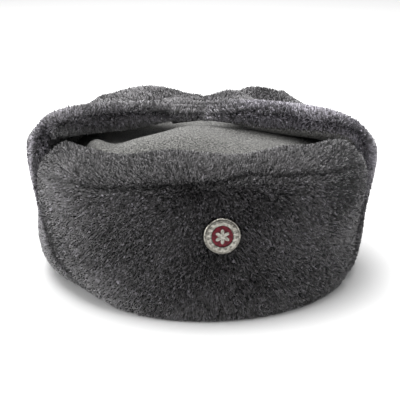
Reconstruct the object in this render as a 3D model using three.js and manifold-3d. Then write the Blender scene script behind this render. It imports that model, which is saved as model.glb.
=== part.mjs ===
// Ushanka standing on a table with all its flaps turned up: a padded cloth crown, a plush front
// flap bent back over the crown, and two plush ear flaps whose tips are tied together on top.
// Millimetres, +Z up, the front of the hat towards -Y, origin on the table under the middle.
import * as THREE from 'three';
import { mergeVertices } from 'three/addons/utils/BufferGeometryUtils.js';
import Module from 'manifold-3d';

const wasm = await Module();
wasm.setup();
const { clamp, lerp, smoothstep } = THREE.MathUtils;

// Clearances
const GAP = 0.4;                        // round the badge's seat, its post and the enamel
const SEAM = 0.25;                      // from the middle plane to each ear flap
const DEGREE = Math.PI / 180;

// Middle of the turned-up flaps round the hat at rising heights: half width, and half depth
// in front and behind
const WALL = [
  { up: 0, side: 105.5, front: 107.5, back: 107.5 },
  { up: 12, side: 114.0, front: 110.2, back: 110.8 },
  { up: 28, side: 117.5, front: 111.8, back: 113.0 },
  { up: 50, side: 119.5, front: 112.8, back: 114.5 },
  { up: 72, side: 123.5, front: 113.2, back: 115.2 },
  { up: 88, side: 126.0, front: 113.4, back: 115.5 },
  { up: 110, side: 126.5, front: 113.5, back: 115.5 },
];
// The soft lower edges are pressed flat on the table, less and less over the flap's height
const PRESS = { deep: 3, fade: 6 };

// Section of the front flap from the table to its top edge: how far behind the wall's middle
// each point lies, and its height
const FRONT_SECTION = [
  { along: 0.00, back: 0, up: 0 },
  { along: 0.22, back: 0, up: 28 },
  { along: 0.44, back: 0, up: 56 },
  { along: 0.62, back: 0.5, up: 80 },
  { along: 0.74, back: 2.5, up: 94 },
  { along: 0.86, back: 11.5, up: 103 },
  { along: 1.00, back: 24, up: 109 },
];
// Top edge of the front flap from the wearer's right to the left: how much higher it stands
// and how much of the section's bend it takes
const FRONT_EDGE = [
  { across: -1.00, lift: 0, bend: 0.75 },
  { across: -0.80, lift: -1, bend: 0.95 },
  { across: -0.52, lift: -1, bend: 1.05 },
  { across: -0.25, lift: 5, bend: 1.1 },
  { across: -0.05, lift: 3.5, bend: 1.05 },
  { across: 0.15, lift: 2, bend: 1 },
  { across: 0.40, lift: 5, bend: 0.95 },
  { across: 0.60, lift: 3, bend: 0.85 },
  { across: 0.80, lift: 2, bend: 0.8 },
  { across: 1.00, lift: -4, bend: 0.7 },
];
const FRONT = {
  turn: 61.5,                           // degrees from the middle of the front to a side edge
  thick: 15, edgeThick: 12.5,           // padded wall, and its thinner bent-back part
  thinFrom: 0.6, thinTo: 0.85,          // shares of the section over which it thins
  liftFrom: 0.3,                        // share of the section where the lift begins
};

// Ribs of an ear flap, from its front edge to the seam at the middle of the back: the turn of
// the rib's foot from the front, the height where it leaves the wall, where it ends (sideways,
// back and up), how steeply it rises from the wall, and how far out and how high it arches
const EAR_RIBS = [
  { share: 0.00, turn: 62.7, leave: 99, side: 1, back: -29, up: 123, rise: 44, reach: 0.76, arch: 5 },
  { share: 0.09, turn: 71, leave: 99, side: 1, back: -22, up: 126, rise: 26, reach: 0.62, arch: 4 },
  { share: 0.20, turn: 83, leave: 98, side: 1, back: -13, up: 129, rise: 20, reach: 0.56, arch: -1 },
  { share: 0.34, turn: 99, leave: 96, side: 1, back: -2, up: 129, rise: 18, reach: 0.5, arch: -6 },
  { share: 0.46, turn: 113, leave: 93, side: 30, back: 30, up: 131, rise: 12, reach: 0.42, arch: -15 },
  { share: 0.58, turn: 126, leave: 88, side: 60, back: 58, up: 120, rise: 15, reach: 0.45, arch: -10 },
  { share: 0.69, turn: 138, leave: 82, side: 71, back: 78, up: 112, rise: 15, reach: 0.5, arch: -3 },
  { share: 0.80, turn: 152, leave: 77, side: 54, back: 94, up: 105, rise: 14, reach: 0.5, arch: 0 },
  { share: 0.90, turn: 166, leave: 74, side: 26, back: 103, up: 101, rise: 13, reach: 0.5, arch: 0 },
  { share: 1.00, turn: 179.7, leave: 73, side: 1, back: 105, up: 100, rise: 13, reach: 0.5, arch: 0 },
];
const EAR = {
  thick: 15,                            // padded wall
  rollFrom: 0.3, rollTo: 0.1,           // shares of the ribs over which the roll fills out
  topFrom: 0.5, topTo: 0.75,            // shares of a rib over which the roll fills out
  pinch: 5, pinchFrom: 0.82,            // how much thinner the tied tips are, and from which share
  widen: 2.6,                           // how much wider the front edge's round is at the tips
  onWall: 0.42,                         // share of a rib's steps that lie on the wall
  squareTo: 0.34, roundFrom: 0.46,      // ends are square up to one rib, round from another
  squareness: 6,
  curlAt: 0.46, curlWidth: 0.1,         // rib where the edge behind the tips curls up
};
// The two sides: the wearer's left ear flap sits lower and has a fuller roll along its front
// edge. On the right the ear flap bulges more near the table, curls up more and starts higher
// at its front edge. Each roll thins from the share of a rib called tip to its end.
const SIDES = {
  left: { sign: 1, sink: 7, slack: 8.5, swell: 0, curl: 1, lift: 0, roll: 24, tip: 0.9 },
  right: { sign: -1, sink: 0, slack: 4, swell: 3.5, curl: 2, lift: 6, roll: 22, tip: 0.78 },
};
const SWELL_UP = 24;                    // height of that bulge, and its reach up and down
// On the right the flaps' outside is drawn in under the place where they meet: its turn from the
// front and half width in degrees, how deep, and the height up to which it fades
const TUCK = { turn: -58, wide: 20, deep: 9, high: 32 };
// Degrees by which the front flap and each ear flap meet further back, at rising heights
const SPREADS = [
  { up: 0, left: 0, right: -0.5 },
  { up: 15, left: 0.1, right: -1.5 },
  { up: 25, left: 0.3, right: -1 },
  { up: 35, left: 0.6, right: 5.5 },
  { up: 60, left: 1.3, right: 17 },
  { up: 85, left: 1.5, right: 13 },
  { up: 110, left: 1.5, right: 9 },
];
// Ribs up to the first share take all of the sink and slack, those past the last none
const FADE = { from: 0.4, to: 0.7 };
// Folds of the ear flaps over the crown: middle, half lengths and height of each
const EAR_FOLDS = [
  { x: 47, y: 24, long: 27, deep: 9, height: -5 },
  { x: -38, y: 6, long: 22, deep: 7, height: -2.5 },
];

// Outside of the crown from its rim to the middle of the top
const CROWN_SECTION = [
  { along: 0.00, up: 2, halfWidth: 97.8, halfDepth: 99.8 },
  { along: 0.12, up: 22, halfWidth: 102.0, halfDepth: 102.8 },
  { along: 0.26, up: 48, halfWidth: 104.5, halfDepth: 104.4 },
  { along: 0.38, up: 70, halfWidth: 105.5, halfDepth: 104.6 },
  { along: 0.47, up: 86, halfWidth: 105.5, halfDepth: 102.8 },
  { along: 0.54, up: 94, halfWidth: 100.0, halfDepth: 96.0 },
  { along: 0.62, up: 99.5, halfWidth: 90.0, halfDepth: 86.5 },
  { along: 0.72, up: 104, halfWidth: 74.0, halfDepth: 70.0 },
  { along: 0.84, up: 104, halfWidth: 46.0, halfDepth: 43.0 },
  { along: 1.00, up: 103, halfWidth: 0.0, halfDepth: 0.0 },
];
const CROWN = { wall: 5, topFrom: 0.5, topTo: 0.72 };
// Folds of the slack crown top: middle, half lengths and height of each swell or hollow
const CROWN_FOLDS = [
  { x: -48, y: -54, long: 46, deep: 18, height: 9 },
  { x: -8, y: -50, long: 32, deep: 18, height: 9 },
  { x: 42, y: -54, long: 34, deep: 18, height: 4 },
  { x: -82, y: -48, long: 17, deep: 15, height: 13 },
  { x: -10, y: -26, long: 30, deep: 16, height: 9 },
  { x: 30, y: -28, long: 34, deep: 14, height: 7 },
  { x: 0, y: 14, long: 40, deep: 30, height: 3 },
  { x: 80, y: 27, long: 24, deep: 26, height: -7 },
  { x: -58, y: -38, long: 28, deep: 11, height: 4.5 },
  { x: -20, y: -36, long: 20, deep: 9, height: 2 },
  { x: -85, y: -34, long: 17, deep: 15, height: 9 },
];

const BADGE = {
  up: 66, lean: 5,                      // height of its middle, degrees that it leans back
  radius: 12.5, thick: 2.2, sunk: 0.7,  // sunk: how far its back lies in the pile
  leaves: 16, leafHeight: 0.35,
  postRadius: 1.5, postLength: 8,
};
const ENAMEL = { radius: 7.2, recess: 0.9, thick: 0.4, dome: 0.12, clear: 0.2 };
const ROSETTE = { petals: 6, petalRadius: 5.2, waistRadius: 1.9, thick: 0.5 };
// Face of the badge from the enamel's well out to the rim and back to the pile: how far below
// the full thickness each ring lies, and how much of the leaves' relief it carries
const BADGE_RINGS = [
  { radius: ENAMEL.radius + ENAMEL.clear, drop: ENAMEL.recess, leaf: 0 },
  { radius: ENAMEL.radius + ENAMEL.clear + 0.1, drop: 0, leaf: 0 },
  { radius: 8.3, drop: 0, leaf: 0.4 },
  { radius: 9.6, drop: 0, leaf: 1 },
  { radius: 10.9, drop: 0.15, leaf: 0.5 },
  { radius: 11.7, drop: 0.35, leaf: 0 },
  { radius: 12.1, drop: 0.1, leaf: 0 },
  { radius: BADGE.radius, drop: 0.6, leaf: 0 },
  { radius: BADGE.radius, drop: 1.8, leaf: 0 },
  { radius: 12, drop: BADGE.thick, leaf: 0 },
];
// Tape: the rib under which it lies, how much of the rib it covers, its distance below the
// flaps' underside, and its own size
const TAPE = { share: 0.24, reach: 0.07, below: 1.6, width: 8, thick: 1.4 };

// Value of a column at a place along a table, smooth through its rows
function column(rows, key, name, place) {
  const last = rows.length - 1;
  const x = clamp(place, rows[0][key], rows[last][key]);
  let i = 0;
  while (i < last - 1 && x > rows[i + 1][key]) i += 1;
  const span = rows[i + 1][key] - rows[i][key];
  const slope = (k) => {
    const a = Math.max(k - 1, 0);
    const b = Math.min(k + 1, last);
    return (rows[b][name] - rows[a][name]) / (rows[b][key] - rows[a][key]);
  };
  const s = (x - rows[i][key]) / span;
  const h = s * s * (3 - 2 * s);
  return rows[i][name] * (1 - h) + rows[i + 1][name] * h
    + span * (s * (1 - s) * (1 - s) * slope(i) - s * s * (1 - s) * slope(i + 1));
}

// How far the outside of the standing wall is drawn in at a turn from the front and a height
function tuckAt(turn, up) {
  const beside = (turn / DEGREE - TUCK.turn) / TUCK.wide;
  return TUCK.deep * Math.exp(-(beside ** 2)) * (1 - smoothstep(up, 0, TUCK.high));
}

// Middle of the standing wall at a turn from the front and a height
function wallPoint(turn, up) {
  const [front, sideways] = [Math.cos(turn), Math.sin(turn)];
  const depth = column(WALL, 'up', front > 0 ? 'front' : 'back', up);
  const { swell } = sideways > 0 ? SIDES.left : SIDES.right;
  const width = column(WALL, 'up', 'side', up)
    + swell * Math.exp(-(((up - SWELL_UP) / SWELL_UP) ** 2)) * Math.abs(sideways);
  const inward = 1 - tuckAt(turn, up) / 2 / Math.hypot(width * sideways, depth * front);
  return new THREE.Vector3(width * sideways * inward, -depth * front * inward, up);
}

// Steps from 0 to 1, even but for those at each end, which stand 0, 30, 60 and 90 degrees round
// a rounded edge
function roundedSteps(count, edge) {
  const round = [0, 30, 60].map((degrees) => edge * (1 - Math.cos(degrees * DEGREE)));
  const even = Array.from({ length: count + 1 }, (_, i) => lerp(edge, 1 - edge, i / count));
  return [...round, ...even, ...round.reverse().map((step) => 1 - step)];
}

// How full a padded sheet is at a step: 0 on its edge and 1 one radius in. Between them it is
// round where blunt is 2, and squarer above that.
function fullness(step, edge, blunt) {
  const inside = Math.min(Math.min(step, 1 - step) / edge, 1);
  return Math.max(0, 1 - (1 - inside) ** blunt) ** (1 / blunt);
}

// Height of a table's folds over a place
function foldHeight(folds, x, y) {
  return folds.reduce((height, fold) => {
    const far = ((x - fold.x) / fold.long) ** 2 + ((y - fold.y) / fold.deep) ** 2;
    return height + fold.height * Math.exp(-far);
  }, 0);
}

function surface(points, faces) {
  const geometry = new THREE.BufferGeometry();
  geometry.setAttribute('position', new THREE.Float32BufferAttribute(points, 3));
  geometry.setIndex(faces);
  return geometry;
}

// A closed padded sheet round a middle surface, with round edges on all four sides, pressed
// flat on the table and, where seam is given, against the middle plane of the hat. The outside
// lies on the side of across x up, or for sign -1 on the other.
function paddedSheet({
  middle, thick, blunt, across, up, edgeAcross, edgeUp, widen = () => 1, sign = 1, seam = 0,
}) {
  const us = roundedSteps(across, edgeAcross);
  const vs = roundedSteps(up, edgeUp);
  const points = [];
  const faces = [];
  const fine = 1e-3;
  const outer = us.map(() => []);
  const inner = us.map(() => []);
  us.forEach((u, i) => vs.forEach((v, j) => {
    const at = middle(u, v);
    const du = middle(Math.min(u + fine, 1), v).sub(middle(Math.max(u - fine, 0), v));
    const dv = middle(u, Math.min(v + fine, 1)).sub(middle(u, Math.max(v - fine, 0)));
    const normal = du.cross(dv).normalize().multiplyScalar(sign);
    const round = fullness(u, edgeAcross * widen(v), 2) * fullness(v, edgeUp, blunt(u, v));
    const half = 0.5 * thick(u, v) * round;
    const onEdge = i === 0 || j === 0 || i === us.length - 1 || j === vs.length - 1;
    for (const [grid, way] of [[outer, 1], [inner, -1]]) {
      if (onEdge && way < 0) {
        grid[i].push(outer[i][j]);
      } else {
        const p = at.clone().addScaledVector(normal, way * half);
        const x = seam ? sign * Math.max(sign * p.x, seam) : p.x;
        points.push(x, p.y, Math.max(p.z, 0));
        grid[i].push(points.length / 3 - 1);
      }
    }
  }));
  for (const [grid, flip] of [[outer, sign < 0], [inner, sign > 0]]) {
    for (let i = 0; i < us.length - 1; i += 1) {
      for (let j = 0; j < vs.length - 1; j += 1) {
        const [a, b, c, d] = [grid[i][j], grid[i + 1][j], grid[i + 1][j + 1], grid[i][j + 1]];
        if (flip) faces.push(a, c, b, a, d, c);
        else faces.push(a, b, c, a, c, d);
      }
    }
  }
  return surface(points, faces);
}

function toManifold(geometry) {
  const bare = geometry.clone();
  bare.deleteAttribute('normal');
  bare.deleteAttribute('uv');
  const merged = mergeVertices(bare, 1e-4);
  return new wasm.Manifold(new wasm.Mesh({
    numProp: 3,
    vertProperties: new Float32Array(merged.attributes.position.array),
    triVerts: new Uint32Array(merged.index.array),
  }));
}

function fromManifold(solid) {
  const mesh = solid.getMesh();
  return surface(Array.from(mesh.vertProperties), Array.from(mesh.triVerts));
}

// Crown: one padded cloth shell, outside and inside grids round the head, joined at the rim
function crownPoint(turn, along, inset) {
  const up = column(CROWN_SECTION, 'along', 'up', along);
  const wide = column(CROWN_SECTION, 'along', 'halfWidth', along);
  const deep = column(CROWN_SECTION, 'along', 'halfDepth', along);
  const topShare = smoothstep(along, CROWN.topFrom, CROWN.topTo);
  const shrink = inset * (1 - topShare);
  const x = Math.max(wide - shrink, 0) * Math.sin(turn);
  const y = -Math.max(deep - shrink, 0) * Math.cos(turn);
  return [x, y, up - inset * topShare + topShare * foldHeight(CROWN_FOLDS, x, y)];
}

function crownGeometry() {
  const around = 56;
  const rings = [0, 0.12, 0.28, 0.44, 0.5, 0.55, 0.6, 0.65, 0.7, 0.75, 0.8, 0.85, 0.9, 0.95];
  const top = rings.length - 1;
  const points = [];
  const faces = [];
  const grids = [0, CROWN.wall].map((inset) => rings.map((along) => {
    const ring = [];
    for (let i = 0; i < around; i += 1) {
      points.push(...crownPoint((i / around) * 2 * Math.PI, along, inset));
      ring.push(points.length / 3 - 1);
    }
    return ring;
  }));
  const poles = [0, CROWN.wall].map((inset) => {
    points.push(...crownPoint(0, 1, inset));
    return points.length / 3 - 1;
  });
  for (let i = 0; i < around; i += 1) {
    const k = (i + 1) % around;
    const band = (low, high, flip) => {
      if (flip) faces.push(low[i], high[k], low[k], low[i], high[i], high[k]);
      else faces.push(low[i], low[k], high[k], low[i], high[k], high[i]);
    };
    for (let r = 0; r < top; r += 1) {
      band(grids[0][r], grids[0][r + 1], false);
      band(grids[1][r], grids[1][r + 1], true);
    }
    faces.push(grids[0][top][i], grids[0][top][k], poles[0]);
    faces.push(grids[1][top][k], grids[1][top][i], poles[1]);
    band(grids[0][0], grids[1][0], true);
  }
  return surface(points, faces);
}

// Front flap
function frontTurn(across, high) {
  const spread = column(SPREADS, 'up', across > 0 ? 'left' : 'right', high);
  return across * (FRONT.turn + spread) * DEGREE;
}

function frontMiddle(u, v) {
  const across = 2 * u - 1;
  const high = column(FRONT_SECTION, 'along', 'up', v);
  const back = column(FRONT_SECTION, 'along', 'back', v) * column(FRONT_EDGE, 'across', 'bend', across);
  const turn = frontTurn(across, high);
  const lift = smoothstep(v, FRONT.liftFrom, 1) * column(FRONT_EDGE, 'across', 'lift', across);
  const low = PRESS.deep * (1 - v) ** PRESS.fade;
  const p = wallPoint(turn, high + lift - low);
  const inward = 1 - back / Math.hypot(p.x, p.y);
  return new THREE.Vector3(p.x * inward, p.y * inward, p.z);
}

function frontGeometry() {
  return paddedSheet({
    middle: frontMiddle,
    thick: (u, v) => {
      const high = column(FRONT_SECTION, 'along', 'up', v);
      const full = lerp(FRONT.thick, FRONT.edgeThick, smoothstep(v, FRONT.thinFrom, FRONT.thinTo));
      return full - tuckAt(frontTurn(2 * u - 1, high), high);
    },
    blunt: () => 2,
    across: 22, up: 13, edgeAcross: 0.032, edgeUp: 0.055,
  });
}

// Foot of an ear flap's rib: its turn from the front, the height where it leaves the wall, and
// the share of that height reached at v
function earFoot(sideName, u, v) {
  const { sign, sink, lift } = SIDES[sideName];
  const hang = 1 - clamp((u - FADE.from) / (FADE.to - FADE.from), 0, 1);
  const atFront = Math.max(0, 1 - u / FADE.from) ** 2;
  const leave = column(EAR_RIBS, 'share', 'leave', u) - sink * hang + lift * atFront;
  const climb = Math.min(v / EAR.onWall, 1);
  const spread = atFront * column(SPREADS, 'up', sideName, leave * climb);
  const turn = sign * (column(EAR_RIBS, 'share', 'turn', u) + spread) * DEGREE;
  return { turn, leave, climb, hang };
}

// Ear flap: each rib climbs the wall, leaves it and swings over the crown to its end
function earMiddle(sideName) {
  const { sign, slack, curl } = SIDES[sideName];
  return (u, v) => {
    const rib = (name) => column(EAR_RIBS, 'share', name, u);
    const { turn, leave, climb, hang } = earFoot(sideName, u, v);
    if (v < EAR.onWall) {
      return wallPoint(turn, leave * climb - PRESS.deep * (1 - climb) ** PRESS.fade);
    }
    const curled = curl * Math.exp(-(((u - EAR.curlAt) / EAR.curlWidth) ** 2));
    const foot = wallPoint(turn, leave);
    const end = new THREE.Vector3(sign * rib('side'), rib('back'), rib('up') + curled);
    const rise = wallPoint(turn, leave + rib('rise'));
    const arch = foot.clone().lerp(end, 1 - rib('reach'));
    arch.z = end.z + rib('arch') - slack * hang;
    const swing = new THREE.CubicBezierCurve3(foot, rise, arch, end);
    const p = swing.getPoint((v - EAR.onWall) / (1 - EAR.onWall));
    p.z += foldHeight(EAR_FOLDS, p.x, p.y);
    return p;
  };
}

function earGeometry(sideName) {
  const thick = (u, v) => {
    const high = smoothstep(v, EAR.topFrom, EAR.topTo) - smoothstep(v, SIDES[sideName].tip, 1);
    const roll = 1 - smoothstep(u, EAR.rollTo, EAR.rollFrom);
    const tip = smoothstep(v, EAR.pinchFrom, 1) * (1 - smoothstep(u, EAR.rollTo, EAR.squareTo));
    const { turn, leave, climb } = earFoot(sideName, u, v);
    return lerp(EAR.thick, SIDES[sideName].roll, high * roll) - EAR.pinch * tip - tuckAt(turn, leave * climb);
  };
  const blunt = (u, v) => {
    const ends = lerp(EAR.squareness, 2, smoothstep(u, EAR.squareTo, EAR.roundFrom));
    return v > EAR.onWall ? ends : 2;
  };
  return paddedSheet({
    middle: earMiddle(sideName), thick, blunt,
    across: 18, up: 16, edgeAcross: 0.042, edgeUp: 0.045,
    widen: (v) => lerp(1, EAR.widen, smoothstep(v, EAR.topTo, 1)),
    sign: SIDES[sideName].sign, seam: SEAM,
  });
}

// Badge parts stand in the badge's own frame: its back on the pile at z = 0, its face towards
// +Z. A disc runs through rings of points from the middle of its face to its back.
function discGeometry(rings, around, relief) {
  const points = [];
  const faces = [];
  for (const ring of rings) {
    for (let i = 0; i < around; i += 1) {
      const turn = (i / around) * 2 * Math.PI;
      points.push(ring.radius * Math.cos(turn), ring.radius * Math.sin(turn), ring.up + relief(ring, turn));
    }
  }
  const last = rings.length - 1;
  points.push(0, 0, rings[0].up, 0, 0, rings[last].up);
  const [face, back] = [rings.length * around, rings.length * around + 1];
  for (let i = 0; i < around; i += 1) {
    const k = (i + 1) % around;
    for (let r = 0; r < last; r += 1) {
      const [a, b] = [r * around, (r + 1) * around];
      faces.push(a + i, b + i, b + k, a + i, b + k, a + k);
    }
    faces.push(face, i, k);
    faces.push(back, last * around + k, last * around + i);
  }
  return surface(points, faces);
}

function cylinderAlongZ(radius, low, high, around) {
  const cylinder = new THREE.CylinderGeometry(radius, radius, high - low, around);
  cylinder.rotateX(Math.PI / 2);
  cylinder.translate(0, 0, (low + high) / 2);
  return cylinder;
}

function badgeGeometry() {
  const rings = BADGE_RINGS.map((ring) => ({ ...ring, up: BADGE.thick - ring.drop }));
  const leaves = (ring, turn) => (ring.leaf * BADGE.leafHeight * (1 - Math.cos(BADGE.leaves * turn))) / 2;
  const disc = toManifold(discGeometry(rings, BADGE.leaves * 4, leaves));
  const overlap = 0.3;
  const post = cylinderAlongZ(BADGE.postRadius, -BADGE.postLength, overlap, 12);
  return fromManifold(disc.add(toManifold(post)));
}

function enamelGeometry() {
  const { radius, thick, dome } = ENAMEL;
  return discGeometry([
    { radius: radius * 0.55, up: thick + dome },
    { radius: radius - 0.3, up: thick },
    { radius, up: thick - dome },
    { radius, up: 0 },
  ], 40, () => 0);
}

// Rosette: round petals about a middle, one flat raised plate
function rosetteGeometry() {
  const steps = ROSETTE.petals * 8;
  const outline = Array.from({ length: steps }, (_, i) => {
    const turn = (i / steps) * 2 * Math.PI;
    const petal = Math.sqrt(0.5 + 0.5 * Math.cos(ROSETTE.petals * turn));
    const r = lerp(ROSETTE.waistRadius, ROSETTE.petalRadius, petal);
    return new THREE.Vector2(r * Math.sin(turn), r * Math.cos(turn));
  });
  return new THREE.ExtrudeGeometry(new THREE.Shape(outline), { depth: ROSETTE.thick, bevelEnabled: false });
}

// Seat of the badge in the pile and the hole of its post, as one cutter in the badge's frame
function badgeSeat() {
  const seat = cylinderAlongZ(BADGE.radius + GAP, -GAP, BADGE.thick * 2, 40);
  const hole = cylinderAlongZ(BADGE.postRadius + GAP, -BADGE.postLength - GAP, 0, 12);
  return toManifold(seat).add(toManifold(hole));
}

// Tie tape: a flat strip that follows the undersides of both tips from one to the other
function tapeGeometry() {
  const steps = [0, 1, 2, 3].map((i) => 1 - (TAPE.reach * i) / 3);
  const half = (name) => steps.map((v) => earMiddle(name)(TAPE.share, v));
  const strip = [...half('right').reverse(), ...half('left')];
  const drop = EAR.thick / 2 + TAPE.below;
  const upper = strip.map((p) => new THREE.Vector2(p.x, p.z - drop));
  const lower = strip.map((p) => new THREE.Vector2(p.x, p.z - drop - TAPE.thick)).reverse();
  const outline = new THREE.Shape([...upper, ...lower]);
  const tape = new THREE.ExtrudeGeometry(outline, { depth: TAPE.width, bevelEnabled: false });
  tape.rotateX(Math.PI / 2);
  tape.translate(0, strip[steps.length].y + TAPE.width / 2, 0);
  return tape;
}

// Materials
const plush = new THREE.MeshStandardMaterial({ color: 0x3a3839, roughness: 0.95, metalness: 0 });
const cloth = new THREE.MeshStandardMaterial({ color: 0x83817f, roughness: 0.9, metalness: 0 });
const tapeCloth = new THREE.MeshStandardMaterial({ color: 0x55534f, roughness: 0.9, metalness: 0 });
const alloy = new THREE.MeshStandardMaterial({ color: 0xb4b0a4, roughness: 0.4, metalness: 1 });
const enamel = new THREE.MeshStandardMaterial({ color: 0x7a1420, roughness: 0.25, metalness: 0 });

// The hat put together
const hat = new THREE.Group();
function add(parent, name, geometry, material) {
  const mesh = new THREE.Mesh(geometry, material);
  mesh.name = name;
  parent.add(mesh);
  return mesh;
}

const badgeGroup = new THREE.Group();
const badgeOut = -wallPoint(0, BADGE.up).y + FRONT.thick / 2 - BADGE.sunk;
badgeGroup.position.set(0, -badgeOut, BADGE.up);
badgeGroup.rotation.set(Math.PI / 2 - BADGE.lean * DEGREE, 0, 0);
badgeGroup.updateMatrixWorld(true);
const cutter = badgeSeat().transform(badgeGroup.matrixWorld.elements);
const frontWithSeat = fromManifold(toManifold(frontGeometry()).subtract(cutter));

add(hat, 'crown', crownGeometry(), cloth);
add(hat, 'front_flap', frontWithSeat, plush);
add(hat, 'ear_flap_left', earGeometry('left'), plush);
add(hat, 'ear_flap_right', earGeometry('right'), plush);
add(hat, 'tie_tape', tapeGeometry(), tapeCloth);
add(badgeGroup, 'badge', badgeGeometry(), alloy);
const enamelSeat = BADGE.thick - ENAMEL.recess + ENAMEL.clear;
add(badgeGroup, 'badge_enamel', enamelGeometry(), enamel).position.z = enamelSeat;
add(badgeGroup, 'badge_rosette', rosetteGeometry(), alloy).position.z = BADGE.thick;
hat.add(badgeGroup);

const middle = new THREE.Box3().setFromObject(hat, true).getCenter(new THREE.Vector3());
hat.position.set(-middle.x, -middle.y, 0);

export default hat;
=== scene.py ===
# Ushanka with all its flaps turned up, standing on a white table: the looks around the packed
# frame. Sizes of the sewn pieces are in millimetres, as a hatter measures, and MM takes them to
# Blender's metres. The front of the hat faces -Y.
import math
import bpy
import numpy as np
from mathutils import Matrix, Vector


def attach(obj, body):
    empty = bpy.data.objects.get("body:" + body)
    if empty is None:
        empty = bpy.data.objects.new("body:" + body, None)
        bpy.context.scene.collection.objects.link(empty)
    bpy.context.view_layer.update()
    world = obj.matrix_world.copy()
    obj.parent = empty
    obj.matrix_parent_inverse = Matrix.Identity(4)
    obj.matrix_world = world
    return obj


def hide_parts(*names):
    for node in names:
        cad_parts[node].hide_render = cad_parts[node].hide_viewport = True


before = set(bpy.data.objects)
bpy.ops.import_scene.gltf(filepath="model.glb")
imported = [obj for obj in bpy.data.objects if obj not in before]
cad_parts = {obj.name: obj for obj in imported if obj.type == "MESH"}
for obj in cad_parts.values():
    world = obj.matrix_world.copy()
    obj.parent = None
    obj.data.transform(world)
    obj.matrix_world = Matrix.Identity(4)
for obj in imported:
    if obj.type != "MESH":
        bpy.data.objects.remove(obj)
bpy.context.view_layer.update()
MM = 0.001

# Table, light and camera
# A white table under a wide soft lamp overhead and a little behind, in a white room, so that
# the tops of the folds are light and the upright front is dark. The long lens looks slightly
# down from in front.
TABLE_SIDE = 6.0
TABLE_WHITE = 0.86
ROOM_LIGHT = 0.62
LAMP = {"place": (-0.14, 0.26, 1.3), "side": 1.3, "watts": 36.0}
SIDE_LAMP = {"place": (-1.3, -0.1, 0.35), "side": 0.8, "watts": 11.0}
AIM = (-0.002, 0.0, 0.0505)
AZIMUTH, ELEVATION, DISTANCE, LENS = -6.0, 19.0, 0.785, 90.0

bpy.context.scene.view_settings.view_transform = "Standard"
world = bpy.context.scene.world or bpy.data.worlds.new("white_room")
bpy.context.scene.world = world
world.use_nodes = True
world.node_tree.nodes["Background"].inputs["Color"].default_value = (1.0, 1.0, 1.0, 1.0)
world.node_tree.nodes["Background"].inputs["Strength"].default_value = ROOM_LIGHT


def plain_material(name, color, roughness, metallic=0.0):
    """A Principled material of one colour, ready for a pattern; returns it and its shader."""
    material = bpy.data.materials.new(name)
    material.use_nodes = True
    shader = material.node_tree.nodes["Principled BSDF"]
    shader.inputs["Base Color"].default_value = (*color, 1.0)
    shader.inputs["Roughness"].default_value = roughness
    shader.inputs["Metallic"].default_value = metallic
    return material, shader


def new_mesh(name, points, quads, materials, smooth=True):
    """A mesh object from an array of points in millimetres and an array of faces with equally
    many corners each."""
    mesh = bpy.data.meshes.new(name)
    corners = quads.shape[1]
    mesh.vertices.add(len(points))
    mesh.vertices.foreach_set("co", (points * MM).astype(np.float32).ravel())
    mesh.loops.add(quads.size)
    mesh.loops.foreach_set("vertex_index", quads.astype(np.int32).ravel())
    mesh.polygons.add(len(quads))
    mesh.polygons.foreach_set("loop_start", np.arange(0, quads.size, corners, dtype=np.int32))
    mesh.polygons.foreach_set("use_smooth", np.full(len(quads), smooth))
    for material in materials:
        mesh.materials.append(material)
    mesh.update(calc_edges=True)
    mesh.validate()
    piece = bpy.data.objects.new(name, mesh)
    bpy.context.scene.collection.objects.link(piece)
    return piece


table_half = TABLE_SIDE / 2 / MM
table_corners = table_half * np.array([(-1, -1, 0), (1, -1, 0), (1, 1, 0), (-1, 1, 0)])
table_paint, _ = plain_material("white_table", (TABLE_WHITE,) * 3, 0.6)
table = new_mesh("table", table_corners, np.array([[0, 1, 2, 3]]), [table_paint], smooth=False)

for lamp_name, lamp in (("lamp_overhead", LAMP), ("lamp_at_the_side", SIDE_LAMP)):
    light = bpy.data.lights.new(lamp_name, "AREA")
    light.shape = "SQUARE"
    light.size = lamp["side"]
    light.energy = lamp["watts"]
    light_object = bpy.data.objects.new(lamp_name, light)
    light_object.location = lamp["place"]
    light_object.rotation_mode = "QUATERNION"
    light_object.rotation_quaternion = (Vector(AIM) - Vector(lamp["place"])).to_track_quat("-Z", "Y")
    bpy.context.scene.collection.objects.link(light_object)

camera = bpy.data.objects.new("camera", bpy.data.cameras.new("camera"))
azimuth, elevation = math.radians(AZIMUTH), math.radians(ELEVATION)
towards_camera = Vector((
    math.sin(azimuth) * math.cos(elevation),
    -math.cos(azimuth) * math.cos(elevation),
    math.sin(elevation),
))
camera.location = Vector(AIM) + towards_camera * DISTANCE
camera.rotation_mode = "QUATERNION"
camera.rotation_quaternion = (-towards_camera).to_track_quat("-Z", "Y")
camera.data.lens = LENS
camera.data.sensor_width = 36.0
bpy.context.scene.collection.objects.link(camera)
bpy.context.scene.camera = camera


# Crown
# The soft top and sides that hold the head: woollen cloth over wadding with a plain lining,
# sewn as one shell. The front flap and the ear flaps hide all but the slack top, whose cloth
# lies in low folds.
MIDDLE = np.array((0.2371, 0.6066, 0.0))        # the sewn middle of the hat in the frame
# Share from rim to middle of top, height, half width, half depth
CROWN_SECTION = np.array([
    (0.00, 2, 97.8, 99.8),
    (0.12, 22, 102.0, 102.8),
    (0.26, 48, 104.5, 104.4),
    (0.38, 70, 105.5, 104.6),
    (0.47, 86, 105.5, 102.8),
    (0.54, 94, 100.0, 96.0),
    (0.62, 99.5, 90.0, 86.5),
    (0.72, 104, 74.0, 70.0),
    (0.84, 104, 46.0, 43.0),
    (1.00, 103, 0.0, 0.0),
])
CROWN_WALL = 5.0
CROWN_TOP = (0.5, 0.72)                         # shares between which the side becomes the top
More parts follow.
